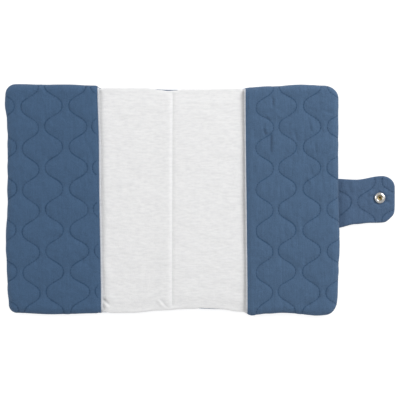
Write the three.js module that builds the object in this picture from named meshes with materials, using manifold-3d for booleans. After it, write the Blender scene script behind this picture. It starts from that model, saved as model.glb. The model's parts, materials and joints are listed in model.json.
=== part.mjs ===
// A quilted travel changing pad that folds like a book and closes with a snap tab.
// Two padded covers meet at a soft spine. Each carries a quilted pocket that opens towards the spine.
// A tab sewn into the right edge wraps over the closed pad and snaps to a stud on the left cover's
// outer face. The pad lies open on its outer face: X runs across it from left to right, Y runs along
// the spine, Z is up, and the origin is the middle of the spine on the surface it lies on.
// Units are millimetres.

import * as THREE from "three";
import { mergeVertices } from "three/addons/utils/BufferGeometryUtils.js";
import Module from "manifold-3d";

const wasm = await Module();
wasm.setup();

// Driving dimensions
const PAD_WIDTH = 376; // open, without the tab
const PAD_HEIGHT = 261;
const CORNER_RADIUS = 13;
const POCKET_DEPTH = 104; // from the side edge to the pocket's mouth
const GAP = 0.3; // between neighbouring layers
const CUT_GAP = 0.15; // half the gap where a layer is divided between two moving parts

// Layer thicknesses, from the outer face up to the top of a pocket
const FACE = 0.8; // quilted face fabric
const WADDING = 3;
const FILM = 0.3;
const LINING = 0.8;
const SLOT = 4.6; // the empty space inside a pocket
const POCKET_LINING = 0.6;
const POCKET_WADDING = 2;

const wadding_z = FACE + GAP;
const film_z = wadding_z + WADDING + GAP;
const lining_z = film_z + FILM + GAP;
const slot_z = lining_z + LINING;
const pocket_lining_z = slot_z + SLOT;
const pocket_wadding_z = pocket_lining_z + POCKET_LINING + GAP;
const pocket_face_z = pocket_wadding_z + POCKET_WADDING + GAP;
const top_z = pocket_face_z + FACE;
const seam_z = lining_z + LINING / 2; // the perimeter seam, halfway up the lining's edge

const half_width = PAD_WIDTH / 2;
const half_height = PAD_HEIGHT / 2;
const mouth_x = half_width - POCKET_DEPTH;
const HEM_SHOWS = 0.7; // the pocket lining's rolled edge stands past the blue fabric at the mouth
const EDGE_ROUND = 2.4; // softened outer edge of the covers and pockets

// The spine is the strip that goes round the closed pad's fold. It bends along both its edges, level
// with the lining, and is just wide enough to let the pockets close face to face.
const SPINE_AXIS_Z = slot_z + GAP;
const half_spine = top_z + GAP - SPINE_AXIS_Z;
const closed_height = 2 * (top_z + GAP);

// Closing tab
const TAB_START = half_width + 0.9;
const TAB_END = 251.4;
const TAB_ROOT_Y = -4.5; // the tab is sewn in a little below the middle and leans up towards its tip
const TAB_TIP_Y = 0.3;
const TAB_ROOT_HALF = 27;
const TAB_WAIST_HALF = 22; // draws the side curves in
const TAB_TIP_HALF = 26.2;
const TAB_CORNER = 12;
const TAB_BOTTOM = 1.4;
const TAB_FACE = 0.8;
const TAB_WADDING = 1.8;
const TAB_EDGE_ROUND = 1.2;
const tab_wadding_z = TAB_BOTTOM + TAB_FACE + GAP;
const tab_front_z = tab_wadding_z + TAB_WADDING + GAP;
const tab_top = tab_front_z + TAB_FACE;
const tab_seam_z = (TAB_BOTTOM + tab_top) / 2;
const TAB_AXIS_X = half_width + 0.6;
const TAB_AXIS_Z = tab_top + GAP;
const TAB_CLEARANCE = 0.9; // between the closed tab and the cover it wraps over
const tab_fold_x = TAB_AXIS_X + closed_height + TAB_CLEARANCE - GAP - TAB_AXIS_Z;

// Snap fastener, 12.5 mm across. Closed, the tab's socket comes down on the stud.
const SNAP_RADIUS = 6.25;
const SNAP_Y = 1.8;
const SOCKET_X = 235;
const stud_x = -(TAB_AXIS_X - (SOCKET_X - tab_fold_x));
const SEAT_GAP = 0.1; // between the snap's metal and the fabric it clamps
const POST_HOLE = 2.2; // radius of the hole punched in the fabric
const TUBE_RADIUS = 1.8; // the posts that go through the hole
const TUBE_BORE = 1.2;
const DIMPLE_FLOOR = 7; // radius of the flat where the cover is clamped
const DIMPLE_RIM = 10;
const ROUND_STEPS = 28;

// Socket, from the tab's front face up
const SOCKET_HEIGHT = 2.4;
const SOCKET_FLOOR = 0.4;
const CAVITY_RADIUS = 3.5;
const MOUTH_RADIUS = 3.1;
const SPRING_WIRE = 0.2;
const SPRING_DEPTH = 0.7; // below the socket's mouth
const SPRING_OPENING = 0.35; // radians
const ROLL_RADIUS = 2.4; // the cap's post, rolled over on the socket's floor
const ROLL_HEIGHT = 0.2;
const CAP_BOTTOM = 0.2;
const socket_z = tab_top + SEAT_GAP;
const socket_top = socket_z + SOCKET_HEIGHT;
const roll_z = socket_z + SOCKET_FLOOR + SEAT_GAP / 2;

// Stud, on the left cover's outer face: bead down, flange against the fabric
const STUD_TIP_Z = 0.2;
const STUD_WALL = 0.4;
const STUD_FLANGE_Z = 1.9;
const STUD_FLANGE = 0.5;
const BEAD_RADIUS = 2.8;
const NECK_RADIUS = 2.5;
const BACKING_RADIUS = 5.2;
const BACKING = 0.5;
const stud_top = STUD_FLANGE_Z + STUD_FLANGE;
const dimple_z = stud_top + SEAT_GAP;
const backing_z = dimple_z + FACE + SEAT_GAP;

const FAR = 400; // larger than anything here, for cutting boxes

const blue = new THREE.MeshStandardMaterial({ color: 0x466484, roughness: 0.95, metalness: 0 });
const white = new THREE.MeshStandardMaterial({ color: 0xe7e7e6, roughness: 0.95, metalness: 0 });
const fleece = new THREE.MeshStandardMaterial({ color: 0xf4f2ec, roughness: 1, metalness: 0 });
const film = new THREE.MeshStandardMaterial({ color: 0xdde5e8, roughness: 0.35, metalness: 0 });
const nickel = new THREE.MeshStandardMaterial({ color: 0xd8d6d0, roughness: 0.25, metalness: 1 });
const brass = new THREE.MeshStandardMaterial({ color: 0xa58a52, roughness: 0.35, metalness: 1 });

// Solids and booleans

function solid(geometry) {
  const bare = geometry.clone();
  bare.deleteAttribute("normal");
  bare.deleteAttribute("uv");
  const merged = mergeVertices(bare, 1e-4);
  return new wasm.Manifold(
    new wasm.Mesh({
      numProp: 3,
      vertProperties: merged.attributes.position.array,
      triVerts: new Uint32Array(merged.index.array),
    }),
  );
}

function geometryOf(body) {
  const mesh = body.getMesh();
  const geometry = new THREE.BufferGeometry();
  geometry.setAttribute("position", new THREE.BufferAttribute(mesh.vertProperties, 3));
  geometry.setIndex(new THREE.BufferAttribute(mesh.triVerts, 1));
  geometry.computeVertexNormals();
  return geometry;
}

// A slab whose upper and lower edges are rounded off
function pillow(shape, z0, z1, round) {
  const geometry = new THREE.ExtrudeGeometry(shape, {
    depth: z1 - z0 - 2 * round,
    bevelEnabled: true,
    bevelThickness: round,
    bevelSize: round,
    bevelOffset: -round,
    bevelSegments: 2,
    curveSegments: 6,
  });
  return solid(geometry.translate(0, 0, z0 + round));
}

function box(x0, x1, z0, z1) {
  const geometry = new THREE.BoxGeometry(x1 - x0, 2 * FAR, z1 - z0);
  return solid(geometry.translate((x0 + x1) / 2, 0, (z0 + z1) / 2));
}

// The part of a solid between two X positions
const between = (body, x0, x1) => body.intersect(box(x0, x1, -FAR, FAR));

// A solid of revolution about a vertical axis at (x, y); profile is a list of [radius, z]
function turned(profile, x, y) {
  const points = profile.map(([r, z]) => new THREE.Vector2(r, z));
  const geometry = new THREE.LatheGeometry(points, ROUND_STEPS);
  return solid(geometry.rotateX(Math.PI / 2).translate(x, y, 0));
}

// An upright round bar on the snap's axis, for cutting holes
function bar(x, radius) {
  const geometry = new THREE.CylinderGeometry(radius, radius, FAR, ROUND_STEPS);
  return solid(geometry.rotateX(Math.PI / 2).translate(x, SNAP_Y, 0));
}

// Outlines

function padOutline(inset) {
  const x = half_width - inset;
  const y = half_height - inset;
  const r = CORNER_RADIUS - inset;
  const shape = new THREE.Shape();
  shape.moveTo(-x + r, -y);
  shape.lineTo(x - r, -y);
  shape.absarc(x - r, -y + r, r, -Math.PI / 2, 0);
  shape.lineTo(x, y - r);
  shape.absarc(x - r, y - r, r, 0, Math.PI / 2);
  shape.lineTo(-x + r, y);
  shape.absarc(-x + r, y - r, r, Math.PI / 2, Math.PI);
  shape.lineTo(-x, -y + r);
  shape.absarc(-x + r, -y + r, r, Math.PI, Math.PI * 1.5);
  return shape;
}

// The tab narrows to a waist between its sewn root and its round-cornered tip
function tabOutline(inset) {
  const x0 = TAB_START + inset;
  const x1 = TAB_END - inset;
  const r = TAB_CORNER - inset;
  const waist_x = (x0 + x1) / 2 - TAB_CORNER / 2;
  const root = TAB_ROOT_HALF - inset;
  const waist = TAB_WAIST_HALF - inset;
  const tip = TAB_TIP_HALF - inset;
  const waist_y = (TAB_ROOT_Y + TAB_TIP_Y) / 2;
  const shape = new THREE.Shape();
  shape.moveTo(x0, TAB_ROOT_Y - root);
  shape.quadraticCurveTo(waist_x, waist_y - waist, x1 - r, TAB_TIP_Y - tip);
  shape.absarc(x1 - r, TAB_TIP_Y - tip + r, r, -Math.PI / 2, 0);
  shape.lineTo(x1, TAB_TIP_Y + tip - r);
  shape.absarc(x1 - r, TAB_TIP_Y + tip - r, r, 0, Math.PI / 2);
  shape.quadraticCurveTo(waist_x, waist_y + waist, x0, TAB_ROOT_Y + root);
  shape.lineTo(x0, TAB_ROOT_Y - root);
  return shape;
}

// A fabric shell of one thickness, closed all round: the lower half ends at the seam and the upper
// half starts just above it. layer cuts a flat layer from the space inside.
function shells(outline, z0, z1, seam, wall, round) {
  const outer = pillow(outline(0), z0, z1, round);
  const inner = pillow(outline(wall), z0 + wall, z1 - wall, round - wall);
  const skin = outer.subtract(inner);
  const inset = wall + GAP;
  const filling = pillow(outline(inset), z0 + inset, z1 - inset, round - inset);
  return {
    lower: skin.intersect(box(-FAR, FAR, -FAR, seam)),
    upper: skin.intersect(box(-FAR, FAR, seam + GAP, FAR)),
    layer: (z, thickness) => filling.intersect(box(-FAR, FAR, z, z + thickness)),
  };
}

const part = new THREE.Group();

function add(name, body, material) {
  const mesh = new THREE.Mesh(geometryOf(body), material);
  mesh.name = name;
  part.add(mesh);
}

// The pad's fabric shell: the outer cover below the seam and the pockets above it
const shell = shells(padOutline, 0, top_z, seam_z, FACE, EDGE_ROUND);
const side_x = half_width + 1; // past the pad's side edge

// One cover: its layers lie between the spine and the side edge. side is 1 on the right, -1 on the left
const spans = {
  cover: [half_spine + CUT_GAP, side_x],
  wadding: [half_spine + 1, side_x],
  pocket: [mouth_x, side_x],
  pocket_lining: [mouth_x - HEM_SHOWS, side_x],
};

function onSide(body, side, [near, far]) {
  return side > 0 ? between(body, near, far) : between(body, -far, -near);
}

// The stud clamps the cover, which dips in a round dimple there. The stud stays inside the dimple.
function dimpled(cover) {
  const dimple = turned(
    [
      [POST_HOLE, dimple_z],
      [DIMPLE_FLOOR, dimple_z],
      [DIMPLE_RIM, 0],
      [DIMPLE_RIM + 1, 0],
      [DIMPLE_RIM + 1, FACE],
      [DIMPLE_RIM + 0.3, FACE],
      [DIMPLE_FLOOR + 0.3, dimple_z + FACE],
      [POST_HOLE, dimple_z + FACE],
      [POST_HOLE, dimple_z],
    ],
    stud_x,
    SNAP_Y,
  );
  return cover.subtract(bar(stud_x, DIMPLE_RIM + 0.5)).add(dimple);
}

for (const [name, side] of [
  ["right", 1],
  ["left", -1],
]) {
  const plate = (z, thickness, span) => onSide(shell.layer(z, thickness), side, span);
  const cover = onSide(shell.lower, side, spans.cover);
  const wadding = plate(wadding_z, WADDING, spans.wadding);
  const has_stud = side < 0;

  add(name + "_outer_cover", has_stud ? dimpled(cover) : cover, blue);
  add(
    name + "_wadding",
    has_stud ? wadding.subtract(bar(stud_x, DIMPLE_RIM + 1.5)) : wadding,
    fleece,
  );
  add(name + "_waterproof_film", plate(film_z, FILM, spans.wadding), film);
  add(name + "_lining", plate(lining_z, LINING, spans.cover), white);
  add(
    name + "_pocket_lining",
    plate(pocket_lining_z, POCKET_LINING, spans.pocket_lining),
    white,
  );
  add(name + "_pocket_wadding", plate(pocket_wadding_z, POCKET_WADDING, spans.pocket), fleece);
  add(name + "_pocket_panel", onSide(shell.upper, side, spans.pocket), blue);
}

// The spine: the covers' fabric and lining cross it, and the seam allowances lie between them
const spine = (body, shrink) =>
  between(body, -half_spine + CUT_GAP + shrink, half_spine - CUT_GAP - shrink);
add("spine_cover", spine(shell.lower, 0), blue);
add(
  "spine_seam_allowance",
  spine(shell.layer(wadding_z, lining_z - GAP - wadding_z), 1),
  white,
);
add("spine_lining", spine(shell.layer(lining_z, LINING), 0), white);

// The tab, in two lengths that fold: its root goes up the closed pad's edge and its tip over the top
const tab = shells(tabOutline, TAB_BOTTOM, tab_top, tab_seam_z, TAB_FACE, TAB_EDGE_ROUND);
const tab_core = tab.layer(tab_wadding_z, TAB_WADDING);
const post_hole = bar(SOCKET_X, POST_HOLE);
const tab_layers = [
  ["front", tab.upper, blue],
  ["wadding", tab_core, fleece],
  ["back", tab.lower, blue],
];
for (const [layer, body, material] of tab_layers) {
  add("tab_root_" + layer, between(body, half_width, tab_fold_x - CUT_GAP), material);
  add(
    "tab_tip_" + layer,
    between(body, tab_fold_x + CUT_GAP, TAB_END + 1).subtract(post_hole),
    material,
  );
}

// Snap on the tab: a socket on the front, and a cap on the back whose hollow post goes through the
// tab and is rolled over inside the socket
add(
  "snap_socket",
  turned(
    [
      [POST_HOLE, socket_z],
      [SNAP_RADIUS - 0.5, socket_z],
      [SNAP_RADIUS, socket_z + 0.5],
      [SNAP_RADIUS, socket_z + 1],
      [SNAP_RADIUS - 0.4, socket_z + 1.7],
      [SNAP_RADIUS - 1.2, socket_top - 0.15],
      [SNAP_RADIUS - 1.9, socket_top],
      [MOUTH_RADIUS + 0.3, socket_top - 0.2],
      [MOUTH_RADIUS, socket_top - 0.4],
      [CAVITY_RADIUS, socket_top - 0.45],
      [CAVITY_RADIUS, socket_z + SOCKET_FLOOR],
      [POST_HOLE, socket_z + SOCKET_FLOOR],
      [POST_HOLE, socket_z],
    ],
    SOCKET_X,
    SNAP_Y,
  ),
  nickel,
);

// A split ring of wire inside the socket grips the stud behind its bead
const spring_radius = CAVITY_RADIUS - SPRING_WIRE - SEAT_GAP / 2;
const spring_z = socket_top - SPRING_DEPTH;
const spring_ring = new THREE.TorusGeometry(spring_radius, SPRING_WIRE, 8, ROUND_STEPS);
spring_ring.translate(SOCKET_X, SNAP_Y, spring_z);
const opening = 2 * spring_radius * Math.sin(SPRING_OPENING / 2);
const spring_opening = new THREE.BoxGeometry(2 * spring_radius, opening, 1);
spring_opening.translate(SOCKET_X + 2 * spring_radius, SNAP_Y, spring_z);
add("snap_spring", solid(spring_ring).subtract(solid(spring_opening)), brass);

const cap_top = TAB_BOTTOM - SEAT_GAP;
add(
  "snap_cap",
  turned(
    [
      [0, CAP_BOTTOM],
      [SNAP_RADIUS - 2.5, CAP_BOTTOM + 0.05],
      [SNAP_RADIUS - 0.6, CAP_BOTTOM + 0.3],
      [SNAP_RADIUS, CAP_BOTTOM + 0.7],
      [SNAP_RADIUS, cap_top],
      [TUBE_RADIUS, cap_top],
      [TUBE_RADIUS, roll_z],
      [ROLL_RADIUS, roll_z],
      [ROLL_RADIUS, roll_z + ROLL_HEIGHT],
      [TUBE_BORE, roll_z + ROLL_HEIGHT],
      [TUBE_BORE, cap_top],
      [0, cap_top],
    ],
    SOCKET_X,
    SNAP_Y,
  ),
  nickel,
);

// Snap on the left cover: the stud, and inside the cover a backing ring whose tube goes through the
// fabric into the stud
add(
  "snap_stud",
  turned(
    [
      [0, STUD_TIP_Z],
      [NECK_RADIUS, STUD_TIP_Z],
      [BEAD_RADIUS, STUD_TIP_Z + 0.2],
      [BEAD_RADIUS, STUD_TIP_Z + 0.4],
      [NECK_RADIUS, STUD_TIP_Z + 0.7],
      [NECK_RADIUS, STUD_FLANGE_Z],
      [SNAP_RADIUS - 0.5, STUD_FLANGE_Z],
      [SNAP_RADIUS - 0.25, STUD_FLANGE_Z + STUD_FLANGE / 2],
      [SNAP_RADIUS - 0.5, stud_top],
      [NECK_RADIUS - STUD_WALL, stud_top],
      [NECK_RADIUS - STUD_WALL, STUD_TIP_Z + STUD_WALL],
      [0, STUD_TIP_Z + STUD_WALL],
    ],
    stud_x,
    SNAP_Y,
  ),
  nickel,
);

const tube_end = STUD_TIP_Z + STUD_WALL + SEAT_GAP;
add(
  "snap_stud_backing",
  turned(
    [
      [TUBE_BORE, tube_end],
      [TUBE_RADIUS, tube_end],
      [TUBE_RADIUS, backing_z],
      [BACKING_RADIUS, backing_z],
      [BACKING_RADIUS, backing_z + BACKING],
      [TUBE_BORE, backing_z + BACKING],
      [TUBE_BORE, tube_end],
    ],
    stud_x,
    SNAP_Y,
  ),
  brass,
);

export default part;
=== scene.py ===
"""Looks of the fold-up quilted changing pad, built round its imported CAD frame.

Shapes are worked out in millimetres in the frame's axes, and become metres when a mesh is made.
"""

import json
import math

import bmesh
import bpy
import numpy as np
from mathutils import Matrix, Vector


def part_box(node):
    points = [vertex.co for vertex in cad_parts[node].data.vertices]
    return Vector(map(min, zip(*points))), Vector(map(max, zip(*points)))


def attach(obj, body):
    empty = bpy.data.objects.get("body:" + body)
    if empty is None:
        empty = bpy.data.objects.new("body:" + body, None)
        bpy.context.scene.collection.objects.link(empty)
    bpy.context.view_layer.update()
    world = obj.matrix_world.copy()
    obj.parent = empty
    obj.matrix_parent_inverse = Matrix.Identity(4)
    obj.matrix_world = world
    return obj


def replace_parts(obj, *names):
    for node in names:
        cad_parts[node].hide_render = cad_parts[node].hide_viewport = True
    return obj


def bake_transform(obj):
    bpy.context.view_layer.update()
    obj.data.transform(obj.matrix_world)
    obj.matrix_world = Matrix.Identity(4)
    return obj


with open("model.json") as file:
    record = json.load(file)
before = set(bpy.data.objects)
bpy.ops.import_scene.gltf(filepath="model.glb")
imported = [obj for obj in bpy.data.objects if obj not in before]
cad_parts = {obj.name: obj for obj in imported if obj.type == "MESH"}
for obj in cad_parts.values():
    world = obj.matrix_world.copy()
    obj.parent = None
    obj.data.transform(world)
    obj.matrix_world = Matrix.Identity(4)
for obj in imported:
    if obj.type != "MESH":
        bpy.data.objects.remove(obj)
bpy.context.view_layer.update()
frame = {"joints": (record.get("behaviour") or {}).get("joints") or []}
MM = 0.001


def box(node):
    """A CAD node's lowest and highest corner, in millimetres."""
    low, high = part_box(node)
    return low / MM, high / MM


def hinge_x(name):
    """The x of a joint's axis, in millimetres."""
    return next(j for j in frame["joints"] if j["name"] == name)["pos_m"][0] / MM


# --- sizes

_, cover_high = box("right_outer_cover")
pocket_low, pocket_high = box("right_pocket_panel")
_, lining_high = box("right_lining")
film_low, film_high = box("right_waterproof_film")
_, tab_high = box("tab_tip_front")
back_low, _ = box("tab_tip_back")
socket_low, socket_high = box("snap_socket")
cap_low, cap_high = box("snap_cap")
stud_low, stud_high = box("snap_stud")
backing_low, backing_high = box("snap_stud_backing")
spring_low, spring_high = box("snap_spring")

SIDE = cover_high.x
HALF_HEIGHT = cover_high.y
SEAM_Z = cover_high.z
MOUTH = pocket_low.x
POCKET_TOP = pocket_high.z
TAB_END = tab_high.x
TAB_TOP = tab_high.z
TAB_BOTTOM = back_low.z
TAB_ROOT_AXIS = hinge_x("tab_root_fold")
TAB_TIP_AXIS = hinge_x("tab_tip_fold")
SOCKET = (socket_low + socket_high) / 2
STUD = (stud_low + stud_high) / 2
SNAP_RADIUS = (socket_high.x - socket_low.x) / 2

# The edges as sewn are a little uneven. Each is (place along the edge, distance from the middle).
TOP_EDGE = [
    (-188, 129.6), (-172, 130.2), (-120, 129.6), (-86, 128.9), (-79, 126.2), (-30, 126.1), (-6, 124.8),
    (30, 124.6), (60, 125.3), (80, 125.8), (88, 126.5), (112, 127.9), (145, 129.5), (188, 128.4),
]
BOTTOM_EDGE = [
    (-188, 128.1), (-122, 129.6), (-88, 128.2), (-75, 128.5), (-48, 128.4), (-14, 125.6), (20, 123.7),
    (50, 124.7), (78, 127.2), (87, 130.9), (108, 128.8), (122, 127.8), (164, 130.8), (188, 129.6),
]
LEFT_EDGE = [(-128, 184.0), (-98, 186.0), (-46, 187.8), (0, 185.6), (80, 185.8), (112, 188.5), (130, 188.6)]
RIGHT_EDGE = [(-128, 185.6), (-108, 187.0), (-80, 188.2), (-46, 189.2), (0, 188.0), (60, 187.7), (130, 188.3)]
LEFT_MOUTH = [(-128, 80.8), (56, 83.1), (128, 84.8)]
RIGHT_MOUTH = [(-128, 85.7), (128, 83.5)]
CORNERS = {"left": (12, 10), "right": (16, 13)}  # top and bottom radius
TAB_TOP_EDGE = [(186, 23.4), (208, 22.5), (237, 26.6), (252, 26.6)]
TAB_BOTTOM_EDGE = [(186, 32.3), (208, 28.0), (224, 26.5), (252, 26.3)]
TAB_CORNERS = (13.5, 11.5)
MOUTH_FADE = 24  # the unevenness dies away over these distances
SIDE_FADE = 35
HALF_SEAM_GAP = 0.15  # a sheet's sewn edge stays this far from the middle of its seam


def smooth(low, high, at):
    """Rises from 0 to 1 between two values, level at both."""
    t = np.clip((at - low) / (high - low), 0, 1)
    return t * t * (3 - 2 * t)


def eased(points, at):
    """A smooth line through a few points, level at each of them."""
    places = np.array([p[0] for p in points], float)
    values = np.array([p[1] for p in points], float)
    i = np.clip(np.searchsorted(places, at) - 1, 0, len(places) - 2)
    return values[i] + (values[i + 1] - values[i]) * smooth(places[i], places[i + 1], at)


def as_sewn(x, y):
    """Moves points of the ideal pad to where its uneven edges put them."""
    top = eased(TOP_EDGE, x)
    bottom = eased(BOTTOM_EDGE, x)
    edge_y = np.where(y > 0, top, bottom) - HALF_HEIGHT
    edge_x = np.where(x > 0, eased(RIGHT_EDGE, y), eased(LEFT_EDGE, y)) - SIDE
    mouth = np.where(x > 0, eased(RIGHT_MOUTH, y), eased(LEFT_MOUTH, y)) - MOUTH
    reach = np.abs(x)
    by_mouth = smooth(0, MOUTH, reach) * (1 - smooth(MOUTH, MOUTH + MOUTH_FADE, reach))
    by_side = smooth(SIDE - SIDE_FADE, SIDE, reach)
    new_x = x + np.sign(x) * (edge_x * by_side + mouth * by_mouth)
    new_y = y + np.sign(y) * edge_y * (np.abs(y) / HALF_HEIGHT) ** 3
    return new_x, new_y


# --- fabric relief


def mottle(a, b, cell_a, cell_b, seed):
    """Smooth random unevenness from -1 to 1, with features about one cell across."""
    random = np.random.default_rng(seed)
    lattice = random.uniform(-1, 1, (64, 64))
    a = a / cell_a + 32
    b = b / cell_b + 32
    i, j = np.floor(a).astype(int), np.floor(b).astype(int)
    s, t = smooth(0, 1, a - i), smooth(0, 1, b - j)
    low = lattice[i % 64, j % 64] * (1 - s) + lattice[(i + 1) % 64, j % 64] * s
    high = lattice[i % 64, (j + 1) % 64] * (1 - s) + lattice[(i + 1) % 64, (j + 1) % 64] * s
    return low * (1 - t) + high * t


def crease(x, y, x0, y0, x1, y1, height, width):
    """A soft fold from one point to another, fading at its ends. Below zero it is a valley."""
    length = math.hypot(x1 - x0, y1 - y0)
    dx, dy = (x1 - x0) / length, (y1 - y0) / length
    along = (x - x0) * dx + (y - y0) * dy
    across = (x - x0) * dy - (y - y0) * dx
    fade = min(6, length / 2)
    ends = smooth(0, fade, along) * (1 - smooth(length - fade, length, along))
    return height * np.exp(-((across / width) ** 2)) * ends


class Quilting:
    """Wavy stitch lines along Y. Neighbours mirror each other, so they draw rows of onion shapes."""

    LENGTH = 46.95
    HEIGHT = 9.9

    def __init__(self, middles, crest, lean=0.0, late=()):
        """crest is a y where the waves turn back. late holds (line, distance) for lines that run behind
        their neighbours."""
        self.middles = np.array(middles, float)
        self.crest = np.full(len(middles), crest)
        for k, distance in late:
            self.crest[k] -= distance
        self.lean = lean

    def at(self, k, y):
        """Line k's x at y, and its slope there."""
        turn = 2 * math.pi / self.LENGTH
        phase = turn * (y - self.crest[k])
        sway = self.HEIGHT * (1 - 2 * (k % 2))
        x = self.middles[k] + self.lean * y + sway * (1.07 * np.cos(phase) - 0.07 * np.cos(3 * phase))
        slope = self.lean + sway * turn * (0.21 * np.sin(3 * phase) - 1.07 * np.sin(phase))
        return x, slope

    def nearest(self, x, y):
        """Distance to the nearest line and the y of the place there. The distance's sign changes only
        across lines."""
        count = np.zeros(x.shape, int)
        for k in range(len(self.middles)):
            count += x > self.at(k, y)[0]
        distance, place = np.full(x.shape, 99.0), np.array(y, float)
        for side in (-1, 0):
            k = np.clip(count + side, 0, len(self.middles) - 1)
            best, shift = np.full(x.shape, 99.0), np.zeros(x.shape)
            for step in np.linspace(-12, 12, 13):
                d = np.hypot(x - self.at(k, y + step)[0], step)
                shift = np.where(d < best, step, shift)
                best = np.minimum(best, d)
            for _ in range(4):
                line_x, slope = self.at(k, y + shift)
                shift = shift - (shift - (x - line_x) * slope) / (1 + slope**2)
            best = np.hypot(x - self.at(k, y + shift)[0], shift)
            place = np.where(best < distance, y + shift, place)
            distance = np.minimum(best, distance)
        return distance * np.where(count % 2 == 0, 1, -1), place

    def paths(self, low, high, step):
        """Each line between two heights, as points a step apart along it."""
        for k in range(len(self.middles)):
            y = np.linspace(low, high, 2000)
            x = self.at(k, y)[0]
            length = np.concatenate([[0], np.cumsum(np.hypot(np.diff(x), np.diff(y)))])
            even = np.arange(0, length[-1], step)
            yield np.interp(even, length, x), np.interp(even, length, y)


PAD_CREST = 106.2
LINE_SPACING = 27
QUILTING = {
    "left": Quilting([-186.5, -159.5, -132.9, -105.5, -80.4], PAD_CREST, lean=-0.009, late=[(1, 2.1)]),
    "right": Quilting([77.3, 104.2, 130.0, 157.6, 184.5], PAD_CREST, lean=0.005, late=[(1, 1.1)]),
    "outer": Quilting([LINE_SPACING * k for k in range(-7, 8)], PAD_CREST),
    "tab": Quilting([192.8, 219.8, 247.2], crest=-2.2),
}
PUCKER = 0.26  # height of the small puckers beside a stitch line


def quilted(quilting, x, y, height):
    """The padding between stitch lines, with small puckers across them. Also gives the distances."""
    distance, place = quilting.nearest(x, y)
    away = np.sqrt(distance**2 + 1.4) - math.sqrt(1.4)
    rise = 0.55 * (1 - np.exp(-away / 2.9)) + 0.45 * (1 - np.exp(-((away / 9) ** 2)))
    pucker = mottle(place * 1.3, distance, 3.2, 9, seed=5) * np.exp(-away / 3.5) * smooth(0, 1.2, away)
    return height * rise + PUCKER * pucker, distance


# --- sewn panels


class Panel:
    """A sheet sewn shut on three sides, whose edge rolls down to the seam.

    u runs from the open end to the far side, and v along it. The roll is band wide and drop deep.
    """

    def __init__(self, start, end, half, step, band, drop, radii):
        self.start, self.end, self.half = start, end, half
        self.band, self.drop, self.radii = band, drop, radii
        self.arc = math.pi / 2 * math.sqrt((band**2 + drop**2) / 2)
        self.extra = self.arc - band
        width = end + self.extra - start
        height = 2 * (half + self.extra)
        u = np.linspace(start, end + self.extra, round(width / step) + 1)
        v = np.linspace(-height / 2, height / 2, round(height / step) + 1)
        self.u, self.v = np.meshgrid(u, v, indexing="ij")

    def place(self, u, v):
        """Plan position, height from the flat part, outward normal, distance in from the seam and the
        flat cut's coordinates."""
        r = np.where(v > 0, *self.radii)
        cut = r + self.extra
        corner_u, corner_v = self.end - r, self.half - r
        a = np.clip((u - corner_u) / cut, 0, 1)
        b = np.clip((np.abs(v) - corner_v) / cut, 0, 1)
        out_u = a * np.sqrt(1 - b * b / 2)
        out_v = b * np.sqrt(1 - a * a / 2) * np.sign(v)
        out = np.hypot(out_u, out_v)
        n_u, n_v = out_u / np.maximum(out, 1e-9), out_v / np.maximum(out, 1e-9)
        base_u = np.minimum(u, corner_u)
        base_v = np.sign(v) * np.minimum(np.abs(v), corner_v)
        from_seam = cut * (1 - out)
        angle = np.clip(from_seam / self.arc, 0, 1) * math.pi / 2
        inset = self.band * (1 - np.cos(angle)) + np.maximum(from_seam - self.arc, 0)
        plan = (base_u + n_u * (r - inset), base_v + n_v * (r - inset))
        z = -self.drop * (1 - np.sin(angle))
        side, up = self.drop * np.cos(angle), self.band * np.sin(angle)
        size = np.hypot(side, up)
        normal = (n_u * side / size, n_v * side / size, up / size)
        flat = (base_u + n_u * out * cut, base_v + n_v * out * cut)
        return plan, z, normal, from_seam, flat


def grid(x, y, z):
    """Points from their coordinates. z may be one number for all of them."""
    return np.stack([x, y, z + np.zeros_like(x)], axis=-1)


def new_piece(name, points, faces, sharp=55):
    """An object from points in millimetres, with its faces outwards and smooth up to an angle."""
    mesh = bpy.data.meshes.new(name)
    mesh.from_pydata((points * MM).tolist(), [], faces.tolist() if hasattr(faces, "tolist") else faces)
    work = bmesh.new()
    work.from_mesh(mesh)
    if work.calc_volume(signed=True) < 0:
        bmesh.ops.reverse_faces(work, faces=work.faces)
    work.to_mesh(mesh)
    work.free()
    mesh.polygons.foreach_set("use_smooth", np.ones(len(mesh.polygons), bool))
    mesh.set_sharp_from_angle(angle=math.radians(sharp))
    piece = bpy.data.objects.new(name, mesh)
    bpy.context.scene.collection.objects.link(piece)
    return piece


def quads(a, b, c, d):
    """Four-sided faces from the numbers of their corner points."""
    return np.stack([a, b, c, d], axis=-1).reshape(-1, 4)


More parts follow.
